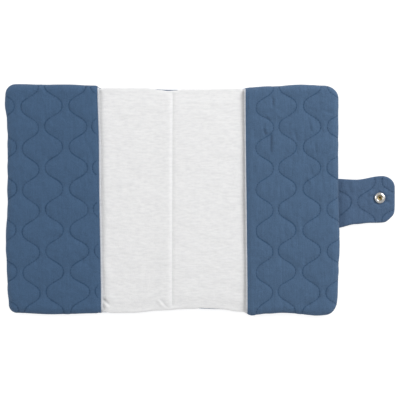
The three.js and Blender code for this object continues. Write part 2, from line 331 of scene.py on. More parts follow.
def shell(name, outer, inner, flat, distance=None, nose=0):
    """A closed sheet between two grids of points. nose is how many rows round off its open end.

    Its UV map holds the flat cut's coordinates, in metres.
    """
    middle = (outer[0] + inner[0]) / 2
    half = (outer[0] - inner[0]) / 2
    inward = outer[1] - outer[0]
    inward /= np.linalg.norm(inward, axis=-1, keepdims=True)
    reach = np.linalg.norm(half, axis=-1, keepdims=True)
    angles = [math.pi * k / (nose + 1) for k in range(1, nose + 1)]
    rounding = [middle + half * math.cos(a) - inward * reach * math.sin(a) for a in angles]
    rows = [*outer[::-1], *rounding, *inner]
    count, width = len(rows), outer.shape[1]
    index = np.arange(count * width).reshape(count, width)
    near = np.arange(outer.shape[0] - 1)
    far = count - 1 - near
    faces = np.concatenate(
        [
            quads(index[:-1, :-1], index[1:, :-1], index[1:, 1:], index[:-1, 1:]),
            quads(index[-1, :-1], index[0, :-1], index[0, 1:], index[-1, 1:]),
            quads(index[near, 0], index[far, 0], index[far - 1, 0], index[near + 1, 0]),
            quads(index[near + 1, -1], index[far - 1, -1], index[far, -1], index[near, -1]),
        ]
    )
    piece = new_piece(name, np.array(rows).reshape(-1, 3), faces)
    mesh = piece.data

    def on_rows(values):
        return np.concatenate([values[::-1], np.repeat(values[:1], nose, axis=0), values])

    corners = np.zeros(len(mesh.loops), np.int32)
    mesh.loops.foreach_get("vertex_index", corners)
    places = on_rows(flat).reshape(-1, 2)[corners] * MM
    mesh.uv_layers.new(name="Flat").data.foreach_set("uv", places.astype(np.float32).ravel())
    if distance is not None:
        values = on_rows(distance).ravel().astype(np.float32)
        mesh.attributes.new("stitch_distance", "FLOAT", "POINT").data.foreach_set("value", values)
    return piece


# --- materials


class Nodes:
    """Short names for building a material's node tree."""

    def __init__(self, name):
        self.material = bpy.data.materials.new(name)
        self.material.use_nodes = True
        self.tree = self.material.node_tree
        self.shader = self.tree.nodes["Principled BSDF"]

    def add(self, kind, inputs=(), **settings):
        node = self.tree.nodes.new("ShaderNode" + kind)
        for key, value in settings.items():
            setattr(node, key, value)
        for key, value in inputs:
            node.inputs[key].default_value = value
        return node

    def link(self, a, b):
        self.tree.links.new(a, b)

    def finish(self, **sockets):
        for key, value in sockets.items():
            self.shader.inputs[key.replace("_", " ")].default_value = value
        return self.material

    def flat(self, per_mm_x, per_mm_y):
        """The piece's flat coordinates, stretched to so many features a millimetre."""
        uv = self.add("UVMap", uv_map="Flat")
        mapping = self.add("Mapping", [("Scale", (per_mm_x / MM, per_mm_y / MM, 1))])
        self.link(uv.outputs["UV"], mapping.inputs["Vector"])
        return mapping.outputs["Vector"]

    def solid_noise(self, per_mm, detail=2.0):
        place = self.add("TexCoord")
        node = self.add("TexNoise", [("Scale", per_mm / MM), ("Detail", detail)])
        self.link(place.outputs["Object"], node.inputs["Vector"])
        return node.outputs["Fac"]

    def noise(self, per_mm_x, per_mm_y, detail=2.0, roughness=0.5):
        node = self.add("TexNoise", [("Scale", 1), ("Detail", detail), ("Roughness", roughness)])
        self.link(self.flat(per_mm_x, per_mm_y), node.inputs["Vector"])
        return node.outputs["Fac"]

    def ribs(self, direction, per_mm):
        inputs = [("Scale", 1 / 3.14), ("Distortion", 0.8)]
        node = self.add("TexWave", inputs, wave_type="BANDS", bands_direction=direction)
        self.link(self.flat(per_mm * 6.28, per_mm * 6.28), node.inputs["Vector"])
        return node.outputs["Fac"]

    def remap(self, value, low, high, to_low=0.0, to_high=1.0):
        inputs = [("From Min", low), ("From Max", high), ("To Min", to_low), ("To Max", to_high)]
        node = self.add("MapRange", inputs, interpolation_type="SMOOTHSTEP")
        self.link(value, node.inputs["Value"])
        return node.outputs["Result"]

    def maths(self, operation, *values):
        node = self.add("Math", operation=operation)
        for socket, value in zip(node.inputs, values):
            if isinstance(value, (int, float)):
                socket.default_value = value
            else:
                self.link(value, socket)
        return node.outputs[0]

    def mix(self, factor, a, b):
        node = self.add("Mix", data_type="RGBA")
        self.link(factor, node.inputs[0])
        for socket, value in ((node.inputs[6], a), (node.inputs[7], b)):
            if isinstance(value, tuple):
                socket.default_value = (*value, 1)
            else:
                self.link(value, socket)
        return node.outputs[2]

    def bump(self, height, depth, under=None):
        """Adds relief of so many millimetres."""
        node = self.add("Bump", [("Strength", 1), ("Distance", depth * MM)])
        self.link(height, node.inputs["Height"])
        if under is not None:
            self.link(under, node.inputs["Normal"])
        return node.outputs["Normal"]


def linear(r, g, b):
    """A colour given as 0 to 255 screen values, as the linear numbers that shaders use."""
    return tuple(((c / 255 + 0.055) / 1.055) ** 2.4 for c in (r, g, b))


def shade(colour, factor):
    return tuple(min(1.0, c * factor) for c in colour)


GROOVE_SHADE_TINT = (0.85, 1.0, 1.07)  # painted shade in the grooves: it takes more red than blue, so they look deeper blue


def quilted_cotton(name, colour, slub, groove_shade):
    """Blue woven cotton, with slubs in its warp and painted shade along the groove of each stitch line."""
    n = Nodes(name)
    slubs = n.noise(0.55, 0.035, detail=3)
    cloudy = n.noise(0.15, 0.12, detail=5, roughness=0.65)
    yarn = n.noise(1.1, 0.8, detail=3)
    tone = n.mix(n.remap(slubs, 0.25, 0.75), shade(colour, 1 - slub), shade(colour, 1 + slub))
    tone = n.mix(n.remap(cloudy, 0.3, 0.7, 0, 0.8), tone, shade(colour, 0.86))
    tone = n.mix(n.remap(yarn, 0.35, 0.7, 0, 0.8), tone, shade(colour, 1.17))
    from_line = n.maths("ABSOLUTE", n.add("Attribute", attribute_name="stitch_distance").outputs["Fac"])
    # Painted shade along each stitch line's groove, stronger in some patches than others.
    shade_patchiness = n.remap(n.noise(0.08, 0.08), 0.35, 0.65, 0.2, 1)
    groove = n.maths("MULTIPLY", n.remap(from_line, 0.2, 1.3, 1, 0), shade_patchiness)
    groove_shade_colour = tuple(c * groove_shade * tint for c, tint in zip(colour, GROOVE_SHADE_TINT))
    tone = n.mix(groove, tone, groove_shade_colour)
    n.link(tone, n.shader.inputs["Base Color"])
    weave = n.maths("MULTIPLY", n.ribs("X", 0.9), n.ribs("Y", 0.8))
    relief = n.bump(weave, 0.08)
    relief = n.bump(slubs, 0.4, relief)
    relief = n.bump(cloudy, 1.7, relief)
    relief = n.bump(n.remap(from_line, 0, 1.3), 0.2, relief)
    n.link(relief, n.shader.inputs["Normal"])
    return n.finish(Roughness=0.92, Specular_IOR_Level=0.15, Sheen_Weight=0.15, Sheen_Roughness=0.5)


def jersey(name, white, grey):
    """White knitted jersey, flecked with short pale grey dashes across it."""
    n = Nodes(name)
    flecks = n.noise(0.14, 0.42, detail=3, roughness=0.55)
    patches = n.noise(0.045, 0.09, detail=3)
    fine = n.noise(0.5, 1.3, detail=2)
    tone = n.mix(n.remap(flecks, 0.36, 0.74), white, grey)
    tone = n.mix(n.remap(fine, 0.4, 0.8, 0, 0.2), tone, grey)
    tone = n.mix(n.remap(patches, 0.35, 0.75, 0, 0.3), tone, grey)
    n.link(tone, n.shader.inputs["Base Color"])
    relief = n.bump(n.ribs("X", 0.8), 0.05)
    relief = n.bump(flecks, 0.1, relief)
    relief = n.bump(patches, 0.9, relief)
    n.link(relief, n.shader.inputs["Normal"])
    return n.finish(Roughness=0.95, Specular_IOR_Level=0.12, Sheen_Weight=0.08, Sheen_Roughness=0.5)


def thread(name, colour):
    """Spun thread with a fine twist."""
    n = Nodes(name)
    twist = n.solid_noise(3.5)
    n.link(n.mix(n.remap(twist, 0.3, 0.7), shade(colour, 0.7), colour), n.shader.inputs["Base Color"])
    n.link(n.bump(twist, 0.05), n.shader.inputs["Normal"])
    return n.finish(Roughness=0.75, Specular_IOR_Level=0.2)


def metal(name, colour, roughness):
    """Plated metal with faint wear."""
    n = Nodes(name)
    wear = n.solid_noise(0.6, detail=5)
    n.link(n.mix(n.remap(wear, 0.4, 0.75), colour, shade(colour, 0.82)), n.shader.inputs["Base Color"])
    n.link(n.remap(wear, 0.3, 0.7, roughness * 0.7, roughness * 1.4), n.shader.inputs["Roughness"])
    return n.finish(Metallic=1.0)


def soft_film(name):
    """Thin milky plastic film with a faint grain."""
    n = Nodes(name)
    grain = n.noise(0.8, 0.8, detail=3)
    tone = n.mix(n.remap(grain, 0.3, 0.7), (0.66, 0.72, 0.76), (0.77, 0.82, 0.85))
    n.link(tone, n.shader.inputs["Base Color"])
    n.link(n.bump(grain, 0.05), n.shader.inputs["Normal"])
    return n.finish(Roughness=0.4)


COTTON = {
    "left": quilted_cotton("quilted_cotton_left", linear(68, 94, 124), 0.08, 0.78),
    "right": quilted_cotton("quilted_cotton_right", linear(75, 100, 129), 0.11, 0.84),
    "tab": quilted_cotton("quilted_cotton_tab", linear(76, 99, 128), 0.14, 0.76),
}
JERSEY = jersey("melange_jersey", linear(239, 239, 239), linear(230, 230, 231))
# The pocket's lining is the same white jersey made darker: painted shade for its rolled edge, which lies in
# shadow at the pocket's mouth.
SHADED_POCKET_JERSEY = jersey("pocket_jersey_painted_shade", linear(208, 211, 217), linear(194, 198, 205))
THREAD = thread("blue_thread", linear(54, 80, 113))
NICKEL = metal("nickel_plate", (0.88, 0.86, 0.82), 0.2)
BRASS = metal("brass", linear(172, 152, 108), 0.38)
FILM = soft_film("waterproof_film")
# This dark brass is painted shadow: it darkens the bottom of the snap post's hole, where light does not
# reach.
SHADOW_BRASS = metal("brass_painted_shadow", linear(62, 52, 34), 0.6)


def dress(piece, material):
    """Gives a piece its material."""
    piece.data.materials.append(material)
    return piece


# --- stitches

STITCH = 2.7
STITCH_GAP = 0.55
STITCH_RISE = (-0.15, 0.2, 0.2, -0.15)  # height along a stitch, whose ends sink into the fabric
STITCH_TAPER = (0.6, 1, 1, 0.6)  # thickness along it
THREAD_RADIUS = 0.24
RING_SIDES = 6
NUDGE = 0.3  # step over which a surface's slope is taken


def stitch_rows(name, quilting, low, high, surface, keep):
    """Short stitches along every quilting line, lying on a surface, where keep says so."""
    pitch, parts = STITCH + STITCH_GAP, len(STITCH_RISE)
    starts, ends = [], []
    for x, y in quilting.paths(low, high, pitch):
        starts.append(np.stack([x[:-1], y[:-1]], axis=-1))
        ends.append(np.stack([x[1:], y[1:]], axis=-1))
    start, end = np.concatenate(starts), np.concatenate(ends)
    share = np.linspace(0, STITCH / pitch, parts)[None, :, None]
    spots = start[:, None] + (end - start)[:, None] * share
    spots = spots[keep(spots[..., 0], spots[..., 1]).all(axis=1)]
    x, y = spots[..., 0], spots[..., 1]
    middle = surface(x, y)
    normal = np.cross(surface(x + NUDGE, y) - middle, surface(x, y + NUDGE) - middle)
    normal *= surface.up * np.sign(normal[..., 2:3])
    normal /= np.linalg.norm(normal, axis=-1, keepdims=True)
    middle = middle + normal * np.array(STITCH_RISE)[None, :, None]
    ahead = np.gradient(middle, axis=1)
    ahead /= np.linalg.norm(ahead, axis=-1, keepdims=True)
    across = np.cross(ahead, normal)
    radius = THREAD_RADIUS * np.array(STITCH_TAPER)[None, :, None]
    ring = [
        middle + radius * (math.cos(a) * across + math.sin(a) * normal)
        for a in np.linspace(0, 2 * math.pi, RING_SIDES, endpoint=False)
    ]
    points = np.stack(ring, axis=2)
    count = len(points)
    index = np.arange(count * parts * RING_SIDES).reshape(count, parts, RING_SIDES)
    after = np.roll(index, -1, axis=2)
    faces = quads(index[:, :-1], after[:, :-1], after[:, 1:], index[:, 1:]).tolist()
    faces += index[:, 0, ::-1].tolist() + index[:, -1].tolist()
    piece = new_piece(name, points.reshape(-1, 3), faces, sharp=80)
    return dress(piece, THREAD)


class Laid:
    """A shape's surface as a function of flat x and y. up is -1 for a surface that faces down."""

    def __init__(self, shape, up):
        self.shape, self.up = shape, up

    def __call__(self, x, y):
        return self.shape.surface(self.shape.side * x, y)[0]

    def within(self, near, far):
        """Whether flat places are at least near from the open end and far from the seam."""

        def keep(x, y):
            panel = self.shape.panel
            u = self.shape.side * x
            out_u = panel.end + panel.extra - u
            out_v = panel.half + panel.extra - np.abs(y)
            return (u > panel.start + near) & (out_u > far) & (out_v > far)

        return keep


# --- pockets

PUFF = 1.5
POCKET_THICK = 1.7
POCKET_LINING_THICK = 0.7
LAYER_GAP = 0.1  # between the pocket and its lining
HEM = 10.5  # turned-in allowance, a slight step along the pocket's mouth and edges
HEM_STEP = 0.3  # height of that step, and the share of the padding it presses flat
ROLLED_EDGE = {"left": 1.8, "right": 1.1}  # how far the pocket's lining stands past its mouth
ROLL_RISE = 0.9  # how far that edge curls up round the fabric

# Folds in the pockets: from, to, height and width
FOLDS = {
    "right": [
        (114, 119, 113, 104, -1.2, 1.2),
        (117, 116, 117, 104, 0.5, 1.8),
        (103, 95, 113, 89, -0.9, 1.1),
        (104, 87, 103, 82, -0.7, 1.1),
        (103, 84, 106, 70, -1.3, 1.2),
        (111.5, 76, 111, 49, -1.4, 1.4),
        (116, 70, 116, 52, 0.6, 2.0),
        (118, 96, 127, 92, 0.8, 2.3),
        (137, 81, 141, 64, -0.8, 1.8),
        (153, 95, 158, 73, -0.9, 1.3),
        (161, 66, 163, 48, -1.0, 1.5),
        (156, 40, 158, 24, -0.9, 1.4),
        (151, 30, 158, 16, 0.7, 2.3),
        (168, 101, 184, 98, -0.8, 2.0),
        (122, 22, 122, -2, -0.5, 1.6),
        (133, 18, 133, -6, 0.5, 2.0),
        (146, -18, 150, -44, -0.4, 2.2),
        (96, -70, 100, -96, -0.4, 2.2),
    ],
    "left": [
        (-152, 54, -128, 40, -0.4, 3.0),
        (-178, 62, -184, 24, -0.5, 3.0),
        (-112, -58, -90, -82, -0.4, 3.0),
        (-100, 70, -90, 50, -0.5, 2.0),
        (-130, -30, -122, -44, 0.4, 3.0),
        (-174, 70, -168, 92, -0.4, 2.0),
        (-128, 92, -118, 84, 0.4, 2.4),
        (-160, -62, -148, -76, -0.4, 2.4),
    ],
}
FOLD_STRENGTH = 1.3
DEEPEST_FOLD = 1.4
RIB_HEIGHT = {"left": 0.12, "right": 0.22}
LIP_SAG = {"left": 2.2, "right": 1.6}  # how far the mouth's edge sinks towards the lining
LIP_DIP = 0.8  # how far the fabric rolls down at that edge
FIRST_STITCH = {"left": 1.2, "right": 9.0}  # the quilting begins this far in from the mouth
NO_GROOVE = 9  # added to the plain strip's distances, so that no groove is drawn there


class Pocket:
    """The upper surface of one quilted pocket, and surfaces at a depth below it."""

    def __init__(self, cover):
        self.cover = cover
        self.side = -1 if cover == "left" else 1
        self.base = POCKET_TOP - PUFF - 0.3
        drop = self.base - SEAM_Z - HALF_SEAM_GAP
        self.panel = Panel(MOUTH, SIDE, HALF_HEIGHT, step=1.1, band=8.5, drop=drop, radii=CORNERS[cover])

    def surface(self, u, v, depth=0.0, quilt=1.0):
        """Points, distances from the stitch lines and flat coordinates, some depth inside."""
        plan, z, normal, from_seam, flat = self.panel.place(u, v)
        x, y = self.side * flat[0], flat[1]
        distance = None
        lift = np.zeros_like(x)
        if quilt:
            padding, distance = quilted(QUILTING[self.cover], x, y, PUFF)
            plain = 1 - smooth(-1, 1, flat[0] - MOUTH - FIRST_STITCH[self.cover])
            distance = distance + np.sign(distance) * NO_GROOVE * plain
            hem = 1 - smooth(HEM - 1, HEM + 1, np.minimum(flat[0] - MOUTH, from_seam))
            lift = padding + (0.7 * PUFF - padding) * plain
            lift = lift * (1 - HEM_STEP * hem) + HEM_STEP * hem
            lift += RIB_HEIGHT[self.cover] * mottle(x, y, 2.6, 17, seed=21) * (1 - hem)
            lift += 0.35 * mottle(x, y, 24, 30, seed=8) + 0.22 * mottle(x, y, 7, 8, seed=9)
            for fold in FOLDS[self.cover]:
                lift += FOLD_STRENGTH * crease(x, y, *fold)
            at_mouth = 1 - smooth(0, 4.5, flat[0] - MOUTH)
            lift = lift * (1 - 0.7 * at_mouth) - LIP_DIP * at_mouth
            lift = np.clip(lift, -DEEPEST_FOLD, POCKET_TOP - self.base) * smooth(0, 4, from_seam)
        lift = lift - depth
        wander = 0.75 + 0.25 * mottle(y, 0 * y, 34, 1, seed=17)
        sag = LIP_SAG[self.cover] * (1 - smooth(-2, 30, flat[0] - MOUTH)) * wander
        px = self.side * (plan[0] + normal[0] * lift)
        py = plan[1] + normal[1] * lift
        height = self.base + z + normal[2] * lift - sag * (1 + z / self.panel.drop)
        return grid(*as_sewn(px, py), height), distance, np.stack([x, y], axis=-1)


def build_pocket(cover):
    """One pocket with its stitches and its lining."""
    pocket = Pocket(cover)
    panel = pocket.panel
    outer, distance, flat = pocket.surface(panel.u, panel.v)
    inner, _, _ = pocket.surface(panel.u, panel.v, POCKET_THICK, quilt=0)
    piece = shell(cover + "_pocket", outer, inner, flat, distance, nose=3)
    dress(piece, COTTON[cover])
    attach(piece, cover + "_cover")
    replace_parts(piece, cover + "_pocket_panel", cover + "_pocket_wadding")

    laid = Laid(pocket, 1)
    reach = HALF_HEIGHT + panel.extra
    stitched = laid.within(FIRST_STITCH[cover], 2.0)
    thread_piece = stitch_rows(cover + "_pocket_quilting", QUILTING[cover], -reach, reach, laid, stitched)
    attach(thread_piece, cover + "_cover")

    start, end = MOUTH - ROLLED_EDGE[cover], SIDE + panel.extra
    u = np.concatenate([np.linspace(start, start + 4, 8), np.linspace(start + 6, end, 50)])
    v = np.linspace(-reach, reach, 160)
    u, v = np.meshgrid(u, v, indexing="ij")
    roll = 1 - smooth(0, 3, u - start)
    depth = POCKET_THICK + LAYER_GAP
    top, _, flat = pocket.surface(u, v, depth - ROLL_RISE * roll, quilt=0)
    bottom, _, _ = pocket.surface(u, v, depth + POCKET_LINING_THICK, quilt=0)
    lining = shell(cover + "_pocket_jersey_painted_shade", top, bottom, flat, nose=4)
    dress(lining, SHADED_POCKET_JERSEY)
    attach(lining, cover + "_cover")
    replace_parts(lining, cover + "_pocket_lining")


# --- covers

COVER_PUFF = 1.5
COVER_THICK = 2.3
COVER_TUCK = 0.8  # how far the cover's edge is pulled in between the pockets
FLOOR_GAP = 0.1  # the highest padding stays this far off the floor
DIMPLE_FLOOR = 7.0  # radii of the dimple that the stud sits in
DIMPLE_RIM = 11.0
DIMPLE_THICK = 0.8  # the padding is pressed down to this there
STUD_GAP = 0.05
SEAM_STRIP = 5.4  # the centre seam's allowances lie under the left lining
SEAM_GROOVE = 0.8  # depth of the groove along the centre seam
SEAM_SLOPE = 0.5  # how far the right lining slopes down to it
MOUTH_DIP = 0.4  # how far the left lining slopes down to its pocket's mouth
LINING_THICK = 0.6
LINING_RISE = 0.1  # its flat parts stand this far above the CAD's
LINING_INSET = 3  # under the pockets it stops this far inside the seam
LINING_CORNERS = (9, 10)
LINING_LOFT = {"left": 0.5, "right": 0.9}  # swelling of the lining away from its top and bottom edges
FILM_SIDE_INSET = 5  # the film stops this far inside the CAD's
FILM_END_INSET = 8

# How far the lining stops short of the edge, so that the outer cover shows
LINING_TUCK_TOP = [
    (-188, 0), (-90, 0), (-82, 1.5), (-75, 0), (-27, 0), (-15, 1.3), (-6, 2.1), (3, 1.7), (11, 0), (75, 0),
    (81, 1.3), (90, 0), (188, 0),
]
LINING_TUCK_BOTTOM = [
    (-188, 0), (-90, 0), (-79, 1.3), (-72, 0), (24, 0), (33, 1.4), (42, 1.4), (58, 0.9), (70, 0), (188, 0),
]

LINING_FOLDS = {
    "right": [
        (3, 111.5, 48, 111.5, -0.18, 1.3),
        (8, -108, 30, -104, 0.25, 3.5),
        (60, 40, 64, -30, 0.15, 6.0),
    ],
    "left": [
        (-84.5, -112, -72, -123.5, -1.6, 1.3),
        (-82, -117, -74, -128, 0.8, 2.2),
        (-77, -106, -64, -120, 0.5, 3.0),
        (-70, -98, -84, -60, 0.35, 4.0),
        (-34, -116, -8, -103, 0.4, 3.0),
        (-16, -115, -2, -130, -1.1, 1.2),
        (-18, -114, -9, -127, 0.7, 1.7),
        (-60, 96, -30, 104, 0.2, 4.0),
        (-72, -40, -44, -64, 0.2, 5.0),
    ],
}


def across_spine(piece):
    """Bakes the piece's placement into its mesh. It is not attached to a cover and does not bend into the
    spine.
    """
    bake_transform(piece)


class Cover:
    """The quilted underside of one cover, from the middle of the spine to the side seam."""

    def __init__(self, cover):
        self.cover = cover
        self.side = -1 if cover == "left" else 1
        self.base = COVER_PUFF + FLOOR_GAP
        drop = SEAM_Z - HALF_SEAM_GAP - self.base
        self.panel = Panel(0, SIDE, HALF_HEIGHT, step=1.3, band=5.0, drop=drop, radii=CORNERS[cover])

    def surface(self, u, v, depth=0.0, quilt=1.0):
        """The same as a pocket's, facing down."""
        plan, z, normal, from_seam, flat = self.panel.place(u, v)
        x, y = self.side * flat[0], flat[1]
        distance = None
        lift = np.zeros_like(x)
        if quilt:
            padding, distance = quilted(QUILTING["outer"], x, y, COVER_PUFF)
            lift = padding + 0.08 * mottle(x, y, 9, 12, seed=31)
            lift = np.minimum(lift, self.base) * smooth(0, 4, from_seam)
        lift = lift - depth
        if self.cover == "left":
            away = np.hypot(x - STUD.x, y - STUD.y)
            dip = 1 - smooth(DIMPLE_FLOOR, DIMPLE_RIM, away)
            floor = self.base - stud_high.z - STUD_GAP - min(depth, DIMPLE_THICK)
            lift = lift * (1 - dip) + floor * dip
        between = 1 - smooth(MOUTH - 4, MOUTH + 2, np.abs(x))
        tuck = COVER_TUCK * between * (np.abs(y) / HALF_HEIGHT) ** 4
        px = self.side * (plan[0] + normal[0] * lift)
        py = plan[1] + normal[1] * lift - np.sign(y) * tuck
        height = self.base - z - normal[2] * lift
        return grid(*as_sewn(px, py), height), distance, np.stack([x, y], axis=-1)


def build_cover(cover):
    """One padded cover with its stitches."""
    shape = Cover(cover)
    panel = shape.panel
    outer, distance, flat = shape.surface(panel.u, panel.v)
    inner, _, _ = shape.surface(panel.u, panel.v, COVER_THICK, quilt=0)
    piece = shell(cover + "_quilted_cover", outer, inner, flat, distance)
    dress(piece, COTTON[cover])
    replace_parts(piece, cover + "_outer_cover", cover + "_wadding", "spine_cover")
    across_spine(piece)

    laid = Laid(shape, -1)
    on_cover = laid.within(0.5, 2.0)

    def clear_of_snap(x, y):
        if cover == "right":
            return on_cover(x, y)
        return on_cover(x, y) & (np.hypot(x - STUD.x, y - STUD.y) >= DIMPLE_FLOOR)

    reach = HALF_HEIGHT + panel.extra
    thread_piece = stitch_rows(
        cover + "_cover_quilting", QUILTING["outer"], -reach, reach, laid, clear_of_snap
    )
    across_spine(thread_piece)
    return piece


def build_lining(cover):
    """The white jersey over one cover, which reaches the pad's edge between the pockets."""
    side = -1 if cover == "left" else 1
    base = lining_high.z + LINING_RISE
    drop = base - SEAM_Z
    panel = Panel(0, SIDE - LINING_INSET, HALF_HEIGHT, step=1.4, band=2.4, drop=drop, radii=LINING_CORNERS)
    plan, z, normal, from_seam, flat = panel.place(panel.u, panel.v)
    x, y = side * flat[0], flat[1]
    lift = 0.22 * mottle(x, y, 30, 24, seed=41)
    lift += 0.1 * mottle(x, y, 10, 9, seed=42)
    lift += 0.04 * mottle(x, y, 4, 5, seed=43)
    for fold in LINING_FOLDS[cover]:
        lift += crease(x, y, *fold)
    if cover == "left":
        strip = smooth(-SEAM_STRIP - 16, -SEAM_STRIP + 1, x) * (1 - smooth(-SEAM_STRIP + 1, -0.4, x))
        lift += strip * (0.7 + 0.15 * mottle(x, y, 3, 7, seed=44))
        lift -= MOUTH_DIP * smooth(MOUTH - 11, MOUTH, -x)
    else:
        lift -= SEAM_SLOPE * np.exp(-x / 4)
    lift += LINING_LOFT[cover] * smooth(2, 19, HALF_HEIGHT - np.abs(y))
    lift -= SEAM_GROOVE * np.exp(-((x / 1.5) ** 2))
    lift *= smooth(2, 6.5, from_seam)
    reach = np.abs(y) / HALF_HEIGHT
    tuck = np.where(y > 0, eased(LINING_TUCK_TOP, x), eased(LINING_TUCK_BOTTOM, x)) * reach**6
    tuck += LINING_INSET * smooth(MOUTH - 1, MOUTH + 4, np.abs(x)) * reach**8
    drift = (0.2 + 0.4 * y / HALF_HEIGHT) * np.exp(-((x / 30) ** 2))  # the centre seam leans a little

    def layer(depth):
        px = side * (plan[0] + normal[0] * (lift - depth)) + drift
        py = plan[1] + normal[1] * (lift - depth) - np.sign(y) * tuck
        return grid(*as_sewn(px, py), base + z + normal[2] * (lift - depth))

    piece = shell(cover + "_jersey_lining", layer(0), layer(LINING_THICK), np.stack([x, y], axis=-1))
    dress(piece, JERSEY)
    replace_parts(piece, cover + "_lining", "spine_lining", "spine_seam_allowance")
    across_spine(piece)


def build_film(cover):
    """The waterproof film between wadding and lining."""
    side = -1 if cover == "left" else 1
    width, half = film_high.x - FILM_SIDE_INSET, film_high.y - FILM_END_INSET
    u, v = np.meshgrid(np.linspace(0, width, 90), np.linspace(-half, half, 60), indexing="ij")
    x, y = as_sewn(side * u, v)
    flat = np.stack([side * u, v], axis=-1)
    piece = shell(cover + "_film", grid(x, y, film_high.z), grid(x, y, film_low.z), flat)
    dress(piece, FILM)
    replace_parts(piece, cover + "_waterproof_film")
    across_spine(piece)


# --- closing tab

TAB_START = 186.2  # sewn into the side seam
TAB_SPLIT = 199.6  # between the two lengths, where neither bends
TAB_PUFF = 0.9
TAB_HALF = 27.0
TAB_TALLEST = 1.2  # limit of its relief
TAB_PRESSED = 0.45  # both faces then lie this much lower, clear of the cover when closed
TAB_FOLDS = [(196, 26, 204, 4, -0.6, 2.0), (206, 24, 214, 10, 0.5, 3.0)]
SNAP_DIMPLE = 0.9  # depth to which the snap pulls the fabric in round its edge
SNAP_SPOKES = 0.3  # height of the puckers that run out from it
END_PUSH = 0.7  # the end stands this much further out than the CAD's
PULLED_CORNER = (248, -22)  # the end's lower corner is pulled in
CORNER_PULL = 1.8


class Tab:
    """The tab's front or back. up is -1 for the back."""

    side = 1

    def __init__(self, up):
        self.up = up
        self.thick = (TAB_TOP - TAB_BOTTOM) / 2
        self.middle = (TAB_TOP + TAB_BOTTOM) / 2
        drop = self.thick - HALF_SEAM_GAP
        self.panel = Panel(TAB_START, TAB_END, TAB_HALF, step=0.8, band=2.4, drop=drop, radii=TAB_CORNERS)

    def surface(self, u, v):
        """Points, distances from the stitch lines and flat coordinates."""
        plan, z, normal, from_seam, flat = self.panel.place(u, v)
        x, y = flat
        snap = np.hypot(x - SOCKET.x, y - SOCKET.y)
        padding, distance = quilted(QUILTING["tab"], x, y, TAB_PUFF)
        bearing = np.arctan2(y - SOCKET.y, x - SOCKET.x)
        spokes = np.cos(7 * bearing + 0.6) + 0.7 * np.cos(11 * bearing + 2.0)
        around = smooth(SNAP_RADIUS - 0.5, SNAP_RADIUS + 3.5, snap)
        padding = padding + 0.25 * mottle(x, y, 5, 7, seed=51)
        padding = padding + 0.18 * mottle(x, y, 2.4, 5, seed=52)
        lift = padding * around
        lift += SNAP_SPOKES * spokes * around * np.exp(-(((snap - SNAP_RADIUS - 3) / 4) ** 2))
        lift -= SNAP_DIMPLE * np.exp(-(((snap - SNAP_RADIUS - 0.4) / 1.2) ** 2))
        lift += sum(crease(x, y, *fold) for fold in TAB_FOLDS)
        lift = (np.minimum(lift, TAB_TALLEST) - TAB_PRESSED * around) * smooth(0, 3, from_seam)
        fuller = smooth(TAB_START + 1, TAB_START + 12, u)
        seam_pull = 0.5 * (SEAM_Z - self.middle) * (1 - smooth(TAB_START, TAB_START + 9, u))
        height = (self.thick + z + normal[2] * lift) * (0.15 + 0.85 * fuller)
        px = plan[0] + normal[0] * lift
        px = px + END_PUSH * smooth(238, 251, px)
        py = plan[1] + normal[1] * lift
        edge = np.where(py > 0, eased(TAB_TOP_EDGE, px), eased(TAB_BOTTOM_EDGE, px))
        py = py * edge / TAB_HALF
        corner_x, corner_y = PULLED_CORNER
        pull = CORNER_PULL * np.exp(-((px - corner_x) ** 2 + (py - corner_y) ** 2) / 60)
        return grid(px - pull, py + pull, self.middle + seam_pull + self.up * height), distance, flat


def build_tab():
    """The tab's two padded lengths with their stitches."""
    front, back = Tab(1), Tab(-1)
    u, v = front.panel.u, front.panel.v
    split = np.searchsorted(u[:, 0], TAB_SPLIT)
    parts = (
        ("tab_root", slice(0, split + 1), "right_cover", (TAB_ROOT_AXIS - 2.4, TAB_ROOT_AXIS + 3.2)),
        ("tab_tip", slice(split, None), "tab_root", (TAB_TIP_AXIS - 7, TAB_TIP_AXIS + 7)),
    )
    for name, rows, before, (bend_start, bend_end) in parts:
        top, distance, flat = front.surface(u[rows], v[rows])
        bottom, _, _ = back.surface(u[rows], v[rows])
        piece = shell(name + "_padded", top, bottom, np.stack(flat, axis=-1), distance)
        dress(piece, COTTON["tab"])
        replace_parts(piece, name + "_front", name + "_wadding", name + "_back")
        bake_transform(piece)
        low, high = u[rows][0, 0], u[rows][-1, 0]
        for face, shape in (("front", front), ("back", back)):
            laid = Laid(shape, shape.up)
            on_tab = laid.within(3.0, 2.0)

            def keep(x, y, on_tab=on_tab, low=low, high=high):
                clear = np.hypot(x - SOCKET.x, y - SOCKET.y) > SNAP_RADIUS + 0.5
                return on_tab(x, y) & clear & (x[:, :1] >= low) & (x[:, :1] < high)

            reach = TAB_HALF + shape.panel.extra
            thread_piece = stitch_rows(f"{name}_{face}_quilting", QUILTING["tab"], -reach, reach, laid, keep)
            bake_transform(thread_piece)


# --- snap


def softened(profile, cut):
    """A profile with each corner rounded."""
    points = [np.array(p, float) for p in profile]
    result = [points[0]]
    for before, corner, after in zip(points, points[1:], points[2:]):
        reach_in = min(cut, np.linalg.norm(corner - before) * 0.45)
        reach_out = min(cut, np.linalg.norm(after - corner) * 0.45)
        begin = corner + (before - corner) / np.linalg.norm(before - corner) * reach_in
        end = corner + (after - corner) / np.linalg.norm(after - corner) * reach_out
        for t in (0, 0.33, 0.67, 1):
            result.append(begin * (1 - t) ** 2 + corner * 2 * t * (1 - t) + end * t * t)
    return result + [points[-1]]


